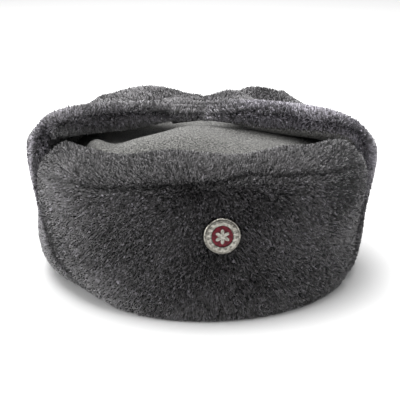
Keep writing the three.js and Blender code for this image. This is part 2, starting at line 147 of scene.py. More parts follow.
# Place across and back, half lengths across and back, height of each swell or hollow
CROWN_FOLDS = np.array([
    (-48, -54, 46, 18, 9),
    (-8, -50, 32, 18, 9),
    (42, -54, 34, 18, 4),
    (-94, -48, 15, 15, 42),
    (-10, -26, 30, 16, 9),
    (30, -28, 34, 14, 7),
    (0, 14, 40, 30, 3),
    (80, 27, 24, 26, -7),
    (-50, -36, 24, 11, 2.5),
    (-92, -34, 14, 14, 14),
    (-68, -44, 10, 16, -2),
    (-20, -36, 20, 9, 2),
])


def through(rows, place):
    """The other columns of a table at places along its first column: a cubic through each pair
    of rows, whose slope at a row is that of the line between the rows on either side."""
    key, values = rows[:, 0], rows[:, 1:]
    last = len(key) - 1
    place = np.clip(place, key[0], key[-1])
    before = np.clip(np.arange(last + 1) - 1, 0, last)
    after = np.clip(np.arange(last + 1) + 1, 0, last)
    slope = (values[after] - values[before]) / (key[after] - key[before])[:, None]
    i = np.clip(np.searchsorted(key, place, side="left") - 1, 0, last - 1)
    span = (key[i + 1] - key[i])[..., None]
    s = ((place - key[i])[..., None]) / span
    h = s * s * (3 - 2 * s)
    value = values[i] * (1 - h) + values[i + 1] * h
    value = value + span * (s * (1 - s) ** 2 * slope[i] - s * s * (1 - s) * slope[i + 1])
    return np.moveaxis(value, -1, 0)


def smooth_between(low, high, x):
    """0 below low, 1 above high, and the cubic 3t^2 - 2t^3 between them."""
    t = np.clip((x - low) / (high - low), 0, 1)
    return t * t * (3 - 2 * t)


def swells(rows, x, y):
    """Sum of bell-shaped swells: height times exp of minus the squared distances in half lengths."""
    total = np.zeros(np.broadcast(x, y).shape)
    for at_x, at_y, half_x, half_y, height in rows:
        total += height * np.exp(-(((x - at_x) / half_x) ** 2) - ((y - at_y) / half_y) ** 2)
    return total


def crown_surface(turn, along, inset):
    """Rings from rim to top: an ellipse whose height and half lengths follow the section, taken
    inwards by inset at the side and down by it on the top, where the folds are added."""
    up, wide, deep = through(CROWN_SECTION, along)
    top = smooth_between(*CROWN_TOP, along)
    shrink = inset * (1 - top)
    x = np.maximum(wide - shrink, 0) * np.sin(turn)
    y = -np.maximum(deep - shrink, 0) * np.cos(turn)
    return np.stack([x, y, up - inset * top + top * swells(CROWN_FOLDS, x, y)], -1)


def strip_quads(rows, columns, closed=False):
    """Corner numbers of the quads of a grid of rows by columns, wound rows first; closed joins
    the last row to the first."""
    i = np.arange(rows if closed else rows - 1)[:, None]
    j = np.arange(columns - 1)[None, :]
    k = (i + 1) % rows
    quads = np.stack([i * columns + j, k * columns + j, k * columns + j + 1, i * columns + j + 1], -1)
    return quads.reshape(-1, 4)


CROWN_AROUND, CROWN_RINGS, LAST_RING = 180, 60, 0.985
turns = np.linspace(0, 2 * np.pi, CROWN_AROUND, endpoint=False)[:, None]
outwards = np.linspace(0, LAST_RING, CROWN_RINGS)[None, :]
crown_outer = crown_surface(turns, outwards, 0.0)
crown_inner = crown_surface(turns, outwards[:, ::-1], CROWN_WALL)
crown_profile = np.concatenate([crown_inner, crown_outer], 1)
crown_poles = [crown_surface(np.zeros(1), np.ones(1), inset) for inset in (CROWN_WALL, 0.0)]
crown_points = np.concatenate([crown_profile.reshape(-1, 3), *crown_poles])
crown_row = 2 * CROWN_RINGS
crown_quads = strip_quads(CROWN_AROUND, crown_row, closed=True)
first = np.arange(CROWN_AROUND) * crown_row
following = np.roll(first, -1)
pole_inner, pole_outer = (np.full_like(first, len(crown_points) - back) for back in (2, 1))
inner_cap = np.stack([following, first, pole_inner], -1)
outer_cap = np.stack([first + crown_row - 1, following + crown_row - 1, pole_outer], -1)


def split_quads(quads):
    """Each quad as two triangles, cut from its first corner to its third."""
    return np.concatenate([quads[:, [0, 1, 2]], quads[:, [0, 2, 3]]])


def blended(material, low, high, amount):
    """A colour between two, by the amount that a node's output gives."""
    nodes, links = material.node_tree.nodes, material.node_tree.links
    mix = nodes.new("ShaderNodeMix")
    mix.data_type = "RGBA"
    for socket, color in (("A", low), ("B", high)):
        if isinstance(color, tuple):
            mix.inputs[socket].default_value = (*color, 1.0)
        else:
            links.new(color, mix.inputs[socket])
    links.new(amount, mix.inputs["Factor"])
    return mix.outputs["Result"]


def noise(material, size, detail=3.0, low=0.35, high=0.65):
    """Noise of about the given size in millimetres over the piece's own place, drawn out so
    that low becomes 0 and high becomes 1."""
    nodes, links = material.node_tree.nodes, material.node_tree.links
    place = nodes.new("ShaderNodeTexCoord").outputs["Object"]
    cloud = nodes.new("ShaderNodeTexNoise")
    cloud.inputs["Scale"].default_value = 1 / (size * MM)
    cloud.inputs["Detail"].default_value = detail
    links.new(place, cloud.inputs["Vector"])
    drawn = nodes.new("ShaderNodeMapRange")
    drawn.inputs["From Min"].default_value = low
    drawn.inputs["From Max"].default_value = high
    links.new(cloud.outputs["Fac"], drawn.inputs["Value"])
    return drawn.outputs["Result"]


def bumped(material, shader, height, depth):
    """The shader's surface raised by depth millimetres where the height is 1."""
    bump = material.node_tree.nodes.new("ShaderNodeBump")
    bump.inputs["Distance"].default_value = depth * MM
    bump.inputs["Strength"].default_value = 1.0
    material.node_tree.links.new(height, bump.inputs["Height"])
    material.node_tree.links.new(bump.outputs["Normal"], shader.inputs["Normal"])


# Felted wool: grey with lighter and darker fibres, slightly worn in broad patches
crown_cloth, crown_shader = plain_material("crown_cloth", (0.13, 0.128, 0.12), 0.95)
grain = noise(crown_cloth, 1.1, detail=2.0, low=0.34, high=0.66)
wool = blended(crown_cloth, (0.025, 0.025, 0.023), (0.232, 0.229, 0.218), grain)
worn = blended(crown_cloth, wool, (0.15, 0.149, 0.142), noise(crown_cloth, 9.0, low=0.55, high=1.4))
faded = blended(crown_cloth, worn, (0.1, 0.099, 0.093), noise(crown_cloth, 26.0, low=0.5, high=1.4))
crown_cloth.node_tree.links.new(faded, crown_shader.inputs["Base Color"])
crown_shader.inputs["Sheen Weight"].default_value = 0.15
bumped(crown_cloth, crown_shader, grain, 0.6)
lining_cloth, lining_shader = plain_material("lining_cloth", (0.05, 0.05, 0.052), 0.7)
lining_thread = noise(lining_cloth, 0.5, detail=1.0)
lining_color = blended(lining_cloth, (0.032, 0.032, 0.034), (0.062, 0.062, 0.066), lining_thread)
lining_cloth.node_tree.links.new(lining_color, lining_shader.inputs["Base Color"])
bumped(lining_cloth, lining_shader, lining_thread, 0.15)
# The faces of the first half of each row, and the cap at its start, are the lining
crown_faces = np.concatenate([split_quads(crown_quads), inner_cap, outer_cap])
face_column = crown_faces[:, 0] % crown_row
crown = new_mesh("crown_shell", crown_points + MIDDLE, crown_faces, [crown_cloth, lining_cloth])
crown.data.polygons.foreach_set("material_index", (face_column < CROWN_RINGS).astype(np.int32))
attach(crown, "root")
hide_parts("crown")


# Turned-up flaps
# Three plush flaps stand round the crown: each is wadding between a plush face and a cloth
# back, with soft round edges, and their folded lower edges are pressed flat on the table.

# Height, half width, half depth in front and behind of the middle of the standing flaps
WALL = np.array([
    (0, 105.5, 107.5, 107.5),
    (12, 114.0, 110.2, 110.8),
    (28, 117.5, 111.8, 113.0),
    (50, 119.5, 112.8, 114.5),
    (72, 123.5, 113.2, 115.2),
    (88, 126.0, 113.4, 115.5),
    (110, 126.5, 113.5, 115.5),
])
PRESS = {"deep": 3.0, "fade": 6}
SWELL = {"high": 3.5, "up": 24.0}               # bulge of the right ear flap near the table
# Degrees by which the front flap and each ear flap meet further back: height, left, right
SPREADS = np.array([
    (0, 0, -0.5),
    (15, 0.1, -1.5),
    (25, 0.3, -1),
    (35, 0.6, 5.5),
    (60, 1.3, 17),
    (85, 1.5, 13),
    (110, 1.5, 9),
])
# On the right the flaps' outside is drawn in under their meeting: turn and half width, depth, and
# the height up to which it fades
TUCK_TURN, TUCK_WIDE, TUCK_DEEP, TUCK_HIGH = -58.0, 20.0, 9.0, 32.0
PILE = 5.5                                      # depth of the plush


def tuck_at(turn, up):
    """How far the outside of the wall is drawn in: a bell over the turn, fading upwards."""
    beside = (np.degrees(turn) - TUCK_TURN) / TUCK_WIDE
    return TUCK_DEEP * np.exp(-(beside ** 2)) * (1 - smooth_between(0, TUCK_HIGH, up))


def wall_point(turn, up):
    """The middle of the wall: half ellipses in front and behind, whose half lengths follow the
    height, with a bell-shaped bulge to the wearer's right."""
    front, sideways = np.cos(turn), np.sin(turn)
    side, ahead, behind = through(WALL, up)
    bulge = SWELL["high"] * np.exp(-(((up - SWELL["up"]) / SWELL["up"]) ** 2)) * np.abs(sideways)
    width = side + np.where(sideways > 0, 0.0, bulge)
    depth = np.where(front > 0, ahead, behind)
    inward = 1 - tuck_at(turn, up) / 2 / np.hypot(width * sideways, depth * front)
    return np.stack([width * sideways * inward, -depth * front * inward, up * np.ones_like(front)], -1)


def rounded_steps(count, edge, round_steps=6):
    """Steps from 0 to 1, even in the middle and at equal angles round the edge at each end."""
    bend = edge * (1 - np.cos(np.linspace(0, np.pi / 2, round_steps, endpoint=False)))
    return np.concatenate([bend, np.linspace(edge, 1 - edge, count), 1 - bend[::-1]])


def fullness(step, edge, blunt):
    """0 on the edge of a padded sheet and 1 one radius in: round where blunt is 2, squarer above."""
    inside = np.minimum(np.minimum(step, 1 - step) / edge, 1)
    return np.maximum(0, 1 - (1 - inside) ** blunt) ** (1 / blunt)


def padded_sheet(middle, thick, blunt, across, up, edge_across, edge_up, sign=1, seam=0.0,
                 widen=lambda v: 1.0):
    """A closed padded sheet round a middle surface: on each side the middle surface moved by
    half the thickness along its normal, falling to nothing round the edges. Returns its points,
    its quads, how many points the outer side has, and for each point the share across and up."""
    u, v = np.meshgrid(
        rounded_steps(across, edge_across), rounded_steps(up, edge_up), indexing="ij")
    fine = 1e-3
    at = middle(u, v)
    du = middle(np.minimum(u + fine, 1), v) - middle(np.maximum(u - fine, 0), v)
    dv = middle(u, np.minimum(v + fine, 1)) - middle(u, np.maximum(v - fine, 0))
    normal = np.cross(du, dv) * sign
    normal /= np.linalg.norm(normal, axis=-1, keepdims=True)
    half = 0.5 * thick(u, v) * fullness(u, edge_across * widen(v), 2) * fullness(v, edge_up, blunt(u, v))
    sides = [at + normal * half[..., None], at - normal * half[..., None]]
    for side in sides:
        side[..., 2] = np.maximum(side[..., 2], 0)
        if seam:
            side[..., 0] = sign * np.maximum(sign * side[..., 0], seam)
    rows, columns = u.shape
    quads = strip_quads(rows, columns)
    inside = np.zeros(u.shape, bool)
    inside[1:-1, 1:-1] = True
    number = np.arange(u.size)
    inner_number = number.copy()
    inner_number[inside.ravel()] = u.size + np.arange(inside.sum())
    if sign > 0:
        faces = np.concatenate([quads, inner_number[quads][:, ::-1]])
    else:
        faces = np.concatenate([quads[:, ::-1], inner_number[quads]])
    points = np.concatenate([sides[0].reshape(-1, 3), sides[1][inside]])
    share = np.concatenate([np.stack([u, v], -1).reshape(-1, 2), np.stack([u[inside], v[inside]], -1)])
    return {"points": points, "quads": faces, "outer": u.size, "share": share}


def point_normals(points, quads):
    """For each point the sum of the normals of the quads round it, each as large as its quad,
    brought to length one."""
    a, b, c, d = (points[quads[:, k]] for k in range(4))
    quad_normal = np.cross(c - a, d - b)
    total = np.zeros_like(points)
    for k in range(4):
        np.add.at(total, quads[:, k], quad_normal)
    return total / (np.linalg.norm(total, axis=1, keepdims=True) + 1e-12)


def drift(points, scale, seed):
    """A smooth vector field with values about -1 to 1: sums of sine waves of the place, each
    with its own direction and phase, about scale millimetres long."""
    waves = np.random.default_rng(seed)
    field = np.zeros_like(points)
    for _ in range(5):
        direction = waves.normal(size=(3, 3))
        direction /= np.linalg.norm(direction, axis=1, keepdims=True)
        length = scale * waves.uniform(0.7, 1.6, size=3)
        field += np.sin(points @ (direction * 2 * np.pi / length[:, None]).T + waves.uniform(0, 6.3, 3))
    return field / 2.2


# Plush
# A short dense pile of grey fibres, darker at the roots, partly as painted shade deep in the pile, that
# clings together in small tufts. Each fibre bundle is one slim face whose map holds its shade
# across, painted light and shade included, and root to tip upwards.
TUFT = 1.25                                     # size of a tuft
TUFT_PULL = 0.4                                 # how far its tips draw together
TUFT_BENDS = (9.0, 1.2)                         # length and size of the bends in the tufts' rows
TUFT_LIFT, TUFT_LEAN = 0.3, 0.7                 # how much tufts differ in height and lean
FIBRE_LEAN = 0.4                                # how much fibres differ in lean
FIBRE_SHORT = (-0.35, 0.25)                     # their tips against the full outline, and spread
STRAYS = {"share": 0.06, "long": (0.1, 0.7)}    # the few fibres that stick out
FIBRE_WIDTH = (0.35, 0.75)
TIP_CLEAR, ROOT_CLEAR = 0.1, 0.02               # least heights over the table
SHADE_MEAN, PAINTED_TOP_LIGHT = 0.318, 0.05            # shade of the fibres, and painted light on upward faces
TUFT_SHADE, FIBRE_SHADE = 0.22, 0.12            # spread of shade between tufts, between fibres
PATCH_SHADE, PATCH_SIZE = 0.012, 40.0           # spread of shade between broad patches
CALM_TOPS = 0.62                                # share by which upward faces are more even
UPWARD = (0.1, 0.9)                             # upward part of the normal: not yet, and fully
LEAST, MOST = 0.02, 0.98                        # ends of the map in use
MAP_HALF = 0.01                                 # half width of a fibre on the map
GLINT = 0.35                                    # how much the fibres' sheen directions differ
UV_NAME = "OFBake"

plush_fibre, fibre_shader = plain_material("plush_fibre", (0.06, 0.058, 0.06), 0.8)
fibre_nodes, fibre_links = plush_fibre.node_tree.nodes, plush_fibre.node_tree.links
fibre_map = fibre_nodes.new("ShaderNodeUVMap")
fibre_map.uv_map = UV_NAME
fibre_axes = fibre_nodes.new("ShaderNodeSeparateXYZ")
fibre_links.new(fibre_map.outputs["UV"], fibre_axes.inputs["Vector"])
# Root to tip: darker at the roots, partly the fibres' own colour and partly painted shade deep in the
# pile
fibre_ramp = fibre_nodes.new("ShaderNodeValToRGB")
fibre_ramp.color_ramp.elements[0].color = (0.012, 0.0115, 0.012, 1)
fibre_ramp.color_ramp.elements[1].color = (0.128, 0.124, 0.131, 1)
fibre_middle = fibre_ramp.color_ramp.elements.new(0.6)
fibre_middle.color = (0.05, 0.0472, 0.0482, 1)
fibre_links.new(fibre_axes.outputs["Y"], fibre_ramp.inputs["Fac"])
fibre_tone = fibre_nodes.new("ShaderNodeMix")
fibre_tone.data_type = "RGBA"
fibre_tone.blend_type = "MULTIPLY"
fibre_tone.inputs["Factor"].default_value = 1.0
# Shade across the map to a lightness: bluish at the light end as a painted tint of lit fibres, warmer at
# the dark end
tone_ramp = fibre_nodes.new("ShaderNodeValToRGB")
tone_ramp.color_ramp.elements[0].color = (0.12, 0.115, 0.112, 1)
tone_ramp.color_ramp.elements[1].color = (4.0, 3.93, 4.25, 1)
tone_middle = tone_ramp.color_ramp.elements.new(0.5)
tone_middle.color = (1.3, 1.26, 1.28, 1)
fibre_links.new(fibre_axes.outputs["X"], tone_ramp.inputs["Fac"])
fibre_links.new(fibre_ramp.outputs["Color"], fibre_tone.inputs["A"])
fibre_links.new(tone_ramp.outputs["Color"], fibre_tone.inputs["B"])
fibre_links.new(fibre_tone.outputs["Result"], fibre_shader.inputs["Base Color"])
fibre_shader.inputs["Sheen Weight"].default_value = 0.5
fibre_shader.inputs["Sheen Roughness"].default_value = 0.6

plush_ground, ground_shader = plain_material("plush_ground", (0.014, 0.0135, 0.014), 1.0)
ground_knit = noise(plush_ground, 1.0, detail=1.0)
ground_color = blended(plush_ground, (0.009, 0.0086, 0.009), (0.02, 0.0193, 0.02), ground_knit)
plush_ground.node_tree.links.new(ground_color, ground_shader.inputs["Base Color"])
bumped(plush_ground, ground_shader, ground_knit, 0.3)


def plush(name, sheet, ground, cover, lean, painted_shading, count, seed, pressed):
    """Fibres rooted at random in the quads of a sheet, each quad taking as many as its area
    times its cover. A fibre runs from the ground to the full outline, leans by lean, and its
    tip is drawn to the mean tip of its tuft and then pressed; every other one is widest at its
    tip. Its shade is the mean plus spreads of tuft and fibre, painted light on upward faces
    and the painted light and shade that the flap gives, and it is lit as the sheet is."""
    rng = np.random.default_rng(seed)
    outline, quads = sheet["points"], sheet["quads"]
    a, b, c, d = (outline[quads[:, k]] for k in range(4))
    area = np.linalg.norm(np.cross(c - a, d - b), axis=1) / 2
    weight = area * cover[quads].mean(axis=1)
    quad = rng.choice(len(quads), size=count, p=weight / weight.sum())
    s, t = rng.random(count)[:, None], rng.random(count)[:, None]

    def blend(values):
        """Values of the quad's corners at s across and t up it."""
        q = values[quads[quad]]
        return (q[:, 0] * (1 - s) + q[:, 1] * s) * (1 - t) + (q[:, 3] * (1 - s) + q[:, 2] * s) * t

    root, tip, normal = blend(ground), blend(outline), blend(sheet["normals"])
    normal /= np.linalg.norm(normal, axis=1, keepdims=True)
    bend_long, bend_wide = TUFT_BENDS
    tuft_at = np.floor((tip + drift(tip, bend_long, seed + 1) * bend_wide) / TUFT).astype(int)
    _, tuft = np.unique(tuft_at, axis=0, return_inverse=True)
    tuft = tuft.ravel()
    size = np.bincount(tuft)[:, None]
    centre = np.stack([np.bincount(tuft, tip[:, k]) for k in range(3)], -1) / size
    tuft_lift = rng.normal(0, TUFT_LIFT, len(size))[tuft][:, None]
    tuft_shade = rng.normal(0, 1, len(size))[tuft]
    tuft_lean = rng.normal(0, TUFT_LEAN, (len(size), 3))[tuft]
    move = TUFT_PULL * (centre[tuft] - tip) + blend(lean) + tuft_lean
    move = move + rng.normal(0, FIBRE_LEAN, (count, 3))
    move -= normal * (move * normal).sum(1, keepdims=True)
    stray = (rng.random(count) < STRAYS["share"])[:, None] * rng.uniform(*STRAYS["long"], (count, 1))
    tip = tip + move + normal * (tuft_lift + rng.normal(*FIBRE_SHORT, (count, 1)) + stray)
    tip = pressed(tip)
    tip[:, 2] = np.maximum(tip[:, 2], TIP_CLEAR)
    along = tip - root
    sideways = np.cross(along, rng.normal(size=(count, 3)))
    sideways /= np.linalg.norm(sideways, axis=1, keepdims=True)
    facing = (np.cross(along, sideways) * normal).sum(1, keepdims=True)
    sideways *= rng.uniform(*FIBRE_WIDTH, (count, 1)) / 2
    cut = (np.arange(count) % 2 == 0)[:, None]
    sideways = np.where((facing > 0) == cut, sideways, -sideways)
    wide, slim = np.where(cut, tip, root), np.where(cut, root, tip)
    points = np.stack([wide - sideways, wide + sideways, slim], 1).reshape(-1, 3)
    points[:, 2] = np.maximum(points[:, 2], ROOT_CLEAR)
    patch = drift(tip, PATCH_SIZE, seed + 2)[:, 0]
    upward = smooth_between(*UPWARD, normal[:, 2])
    spread = (TUFT_SHADE * tuft_shade + rng.normal(0, FIBRE_SHADE, count)) * (1 - CALM_TOPS * upward)
    # Painted light on upward faces, and the flap's painted light and shade, go into the shade
    shade = SHADE_MEAN + spread + PATCH_SHADE * patch + PAINTED_TOP_LIGHT * upward
    shade = np.clip(shade + blend(painted_shading[:, None])[:, 0], LEAST, MOST)
    high = np.where(cut, MOST, LEAST).ravel()
    maps = np.stack([
        np.stack([shade - MAP_HALF, high], -1),
        np.stack([shade + MAP_HALF, high], -1),
        np.stack([shade, 1 - high], -1),
    ], 1).reshape(-1, 2)
    faces = np.arange(3 * count).reshape(-1, 3)
    piece = new_mesh(name, points + MIDDLE, faces, [plush_fibre])
    glint = normal + rng.normal(0, GLINT, (count, 3))
    glint /= np.linalg.norm(glint, axis=1, keepdims=True)
    piece.data.normals_split_custom_set_from_vertices(np.repeat(glint, 3, axis=0))
    layer = piece.data.uv_layers.new(name=UV_NAME)
    layer.data.foreach_set("uv", maps.astype(np.float32).ravel())
    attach(piece, "root")


def flap(name, node, sheet, cover, lean, painted_shading, fibres, seed, pressed):
    """One padded flap: its plush ground lies one pile's depth inside the full outline where
    the plush covers it, and the fibres stand on it. The rest is bare cloth."""
    ground = sheet["points"] - sheet["normals"] * (PILE * cover)[:, None]
    ground[:, 2] = np.maximum(ground[:, 2], 0)
    body = new_mesh(name, ground + MIDDLE, sheet["quads"], [plush_ground, crown_cloth])
    bare = (cover[sheet["quads"]].mean(axis=1) < 0.5).astype(np.int32)
    body.data.polygons.foreach_set("material_index", bare)
    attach(body, "root")
    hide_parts(node)
    for part, part_fibres in enumerate(fibres):
        plush(f"{name}_plush_{part + 1}", sheet, ground, cover, lean, painted_shading, part_fibres,
              seed + 10 * part, pressed)


# Front flap
# Plush over wadding, turned up against the crown and bent back over its edge at the top.
FRONT_SECTION = np.array([
    (0.00, 0, 0),
    (0.22, 0, 28),
    (0.44, 0, 56),
    (0.62, 0.5, 80),
    (0.74, 2.5, 94),
    (0.86, 11.5, 103),
    (1.00, 24, 109),
])
FRONT_EDGE = np.array([
    (-1.00, 0, 0.75),
    (-0.80, -1, 0.95),
    (-0.52, -1, 1.05),
    (-0.25, 5, 1.1),
    (-0.05, 3.5, 1.05),
    (0.15, 2, 1),
    (0.40, 5, 0.95),
    (0.60, 3, 0.85),
    (0.80, 2, 0.8),
    (1.00, -4, 0.7),
])
FRONT_TURN = 61.5
FRONT_THICK, FRONT_EDGE_THICK, FRONT_THINS = 15.0, 12.5, (0.6, 0.85)


def front_turn(u, high):
    """Turn of the front flap's place across, wider by the spread at its height."""
    across = 2 * u - 1
    spread_left, spread_right = through(SPREADS, high)
    return np.radians(across * (FRONT_TURN + np.where(across > 0, spread_left, spread_right)))


def front_middle(u, v):
    """The front flap's middle: the wall at the section's height, moved inwards by the section's
    bend, and both changed along the top edge from one side to the other."""
    back, high = through(FRONT_SECTION, v)
    lift, bend = through(FRONT_EDGE, 2 * u - 1)
    turn = front_turn(u, high)
    low = PRESS["deep"] * (1 - v) ** PRESS["fade"]
    point = wall_point(turn, high + smooth_between(0.3, 1, v) * lift - low)
    inward = 1 - back * bend / np.hypot(point[..., 0], point[..., 1])
    return np.stack([point[..., 0] * inward, point[..., 1] * inward, point[..., 2]], -1)


def front_thick(u, v):
    """Full in the wall, thinner where the flap bends back and where its foot is drawn in."""
    high = through(FRONT_SECTION, v)[1]
    full = FRONT_THICK + (FRONT_EDGE_THICK - FRONT_THICK) * smooth_between(*FRONT_THINS, v)
    return full - tuck_at(front_turn(u, high), high)


def from_edge(sheet, edge_across, edge_up):
    """For each point of a sheet its distance from the nearest edge, in widths of that edge."""
    u, v = sheet["share"].T
    return np.minimum(np.minimum(u, 1 - u) / edge_across, np.minimum(v, 1 - v) / edge_up)


FRONT_EDGES = (0.032, 0.055)                    # shares across and up that the round edges take
front_sheet = padded_sheet(front_middle, front_thick, lambda u, v: 2, 110, 84, *FRONT_EDGES)
front_u, front_v = front_sheet["share"].T
is_inner = np.arange(len(front_u)) >= front_sheet["outer"]
front_bare = smooth_between(0.5, 0.9, from_edge(front_sheet, *FRONT_EDGES))
front_cover = np.where(is_inner, 1 - front_bare, 1.0)
# Line along which the flap bends back: share across, share up
CREASE = np.array([
    (0.00, 0.70),
    (0.21, 0.719),
    (0.25, 0.722),
    (0.30, 0.729),
    (0.35, 0.732),
    (0.40, 0.736),
    (0.45, 0.749),
    (0.50, 0.770),
    (0.565, 0.803),
    (0.61, 0.789),
    (0.665, 0.762),
    (0.745, 0.752),
    (1.00, 0.735),
])
# The groove along the bend: its depth and width, and the painted shade in it
CREASE_DEEP, CREASE_WIDE, PAINTED_CREASE_SHADE = 2.6, 0.012, 0.4
from_crease = front_v - through(CREASE, front_u)[0]
creased = np.exp(-((from_crease / CREASE_WIDE) ** 2)) * smooth_between(0.0, 0.2, front_u)
creased *= 1 - 0.6 * smooth_between(0.75, 1, front_u)
front_sheet["normals"] = point_normals(front_sheet["points"], front_sheet["quads"])
# Short gathers at the foot: share across, depth, share up to which they fade
NOTCHES = np.array([
    (0.10, 3.0, 0.17),
    (0.23, 2.4, 0.13),
])
# The gathers' width and slant, and the painted shade in them
NOTCH_WIDE, NOTCH_SLANT, PAINTED_NOTCH_SHADE = 0.011, 0.25, 0.08
notched = np.zeros_like(front_u)
for notch_at, notch_deep, notch_fade in NOTCHES:
    beside = (front_u - notch_at - NOTCH_SLANT * front_v) / NOTCH_WIDE
    notched += notch_deep * np.exp(-(beside ** 2)) * (1 - smooth_between(0, notch_fade, front_v))
sunk = (CREASE_DEEP * creased + notched) * np.where(is_inner, 0, 1)
front_sheet["points"] -= sunk[:, None] * front_sheet["normals"]
# The pile is brushed down below the bend and up above it, and swirls a little
LEAN_DOWN, LEAN_CHANGE, LEAN_SWIRL = 0.4, 0.8, 0.55
front_lean = np.zeros((len(front_u), 3))
front_lean[:, 2] = LEAN_CHANGE * smooth_between(0.0, 0.12, from_crease) - LEAN_DOWN
front_lean += LEAN_SWIRL * drift(front_sheet["points"], 50, 5)
PAINTED_BAND_SHADE = 0.1                                 # painted shade, darkening the upward-facing bent-back band
# Painted shade in the bend's groove and in the gathers at the foot, and over the bent-back band
front_painted_shading = -PAINTED_CREASE_SHADE * creased - PAINTED_NOTCH_SHADE * notched
front_painted_shading -= PAINTED_BAND_SHADE * smooth_between(0.02, 0.1, from_crease)


def round_the_badge(tip):
    """Fibres under the badge lie flat behind its back, and those just outside its rim are pushed
    outwards and held down, less and less over the ring's width."""
    away = tip - BADGE_AT
    high = away @ BADGE_OUT
    flat = away - high[:, None] * BADGE_OUT
    far = np.linalg.norm(flat, axis=1)
    limit = HELD_RISE * np.maximum(0, far - BADGE_RADIUS) / PRESSED_RING - HELD_BACK
    held = (far < BADGE_RADIUS + PRESSED_RING) & (high > limit)
    outwards = flat / np.maximum(far, 0.1)[:, None]
    pushed = np.where(far > BADGE_RADIUS - 1.5, PUSHED_OUT, 0.0)[:, None]
    return np.where(held[:, None], tip - (high - limit)[:, None] * BADGE_OUT + pushed * outwards, tip)


BADGE_UP, BADGE_LEAN, BADGE_RADIUS = 66.0, math.radians(5), 12.5
PRESSED_RING, HELD_BACK, HELD_RISE, PUSHED_OUT = 2.0, 0.9, 3.0, 0.9
BADGE_OUT = np.array((0, -math.cos(BADGE_LEAN), math.sin(BADGE_LEAN)))
badge_back = wall_point(np.zeros(1), np.full(1, BADGE_UP))[0, 1] - FRONT_THICK / 2 + 0.7
BADGE_AT = np.array((0, badge_back, BADGE_UP))
flap("front_flap_padded", "front_flap", front_sheet, front_cover, front_lean, front_painted_shading,
     (195000, 35000), 11, round_the_badge)


# Ear flaps
# Two plush flaps, turned up from the sides and the back, that swing over the crown; their tips
# meet on top, where a tape ties them. Each is a fan of ribs from the front edge to the seam at
# the middle of the back.

# Share, turn of the foot, height where it leaves the wall, its end across, back and up, how
# steeply it rises, how far out and how high it arches
EAR_RIBS = np.array([
    (0.00, 62.7, 99, 1, -29, 123, 44, 0.76, 5),
    (0.09, 71, 99, 1, -22, 126, 26, 0.62, 4),
    (0.20, 83, 98, 1, -13, 129, 20, 0.56, -1),
    (0.34, 99, 96, 1, -2, 129, 18, 0.5, -6),
    (0.46, 113, 93, 30, 30, 131, 12, 0.42, -15),
    (0.58, 126, 88, 60, 58, 120, 15, 0.45, -10),
    (0.69, 138, 82, 71, 78, 112, 15, 0.5, -3),
    (0.80, 152, 77, 54, 94, 105, 14, 0.5, 0),
    (0.90, 166, 74, 26, 103, 101, 13, 0.5, 0),
    (1.00, 179.7, 73, 1, 105, 100, 13, 0.5, 0),
])
EAR_THICK, ON_WALL, SEAM = 15.0, 0.42, 0.25
PINCH, PINCH_FROM = 5.0, 0.82                   # the tied tips are thinner, from this share on
EDGE_WIDENS = 2.6                               # and the front edge's round is wider there
# How far each side's ribs hang and slacken, curl and rise at the front, how thick its roll is and
# where that thins; how far under it the pile goes, in edge widths and as a share across; and how
# much painted light its roll and its side get
EAR_SIDES = {
    "left": {"sign": 1, "sink": 7, "slack": 8.5, "curl": 1, "lift": 0, "roll": 24, "tip": 0.9,
             "bare": 0.2, "furred": 0.2, "painted_shading": 0.58, "painted_side_light": 0.15, "seed": 31},
    "right": {"sign": -1, "sink": 0, "slack": 4, "curl": 2, "lift": 6, "roll": 22, "tip": 0.78,
              "bare": 9.0, "furred": 0.4, "painted_shading": 0.1, "painted_side_light": 0.42, "seed": 51},
}
FADE = (0.4, 0.7)                               # shares across which the hang fades
CURL_AT, CURL_WIDE = 0.46, 0.1                  # the ribs that curl, and half width
ROLL_UP, ROLL_ACROSS = (0.5, 0.75), (0.1, 0.3)  # shares up and across where the roll starts, ends
PINCH_ACROSS, BLUNT_ACROSS = (0.1, 0.34), (0.34, 0.46)
BLUNT, ROUND = 6, 2                             # how square the tips' edges and the others are
# Folds over the crown: place across and back, half lengths across and back, height
EAR_FOLDS = np.array([
    (47, 24, 27, 9, -5),
    (-38, 6, 22, 7, -2.5),
])


def ear_foot(side, u, v):
    """Foot of a rib: its turn, the height where it leaves the wall, the share of that height
    reached at v, and how much of the sink and slack the rib takes."""
    turn, leave = through(EAR_RIBS, u)[:2]
    hang = 1 - np.clip((u - FADE[0]) / (FADE[1] - FADE[0]), 0, 1)
    at_front = np.maximum(0, 1 - u / FADE[0]) ** 2
    leave = leave - side["sink"] * hang + side["lift"] * at_front
    climb = np.minimum(v / ON_WALL, 1)
    spread = at_front * through(SPREADS, leave * climb)[0 if side["sign"] > 0 else 1]
    return side["sign"] * np.radians(turn + spread), leave, climb, hang


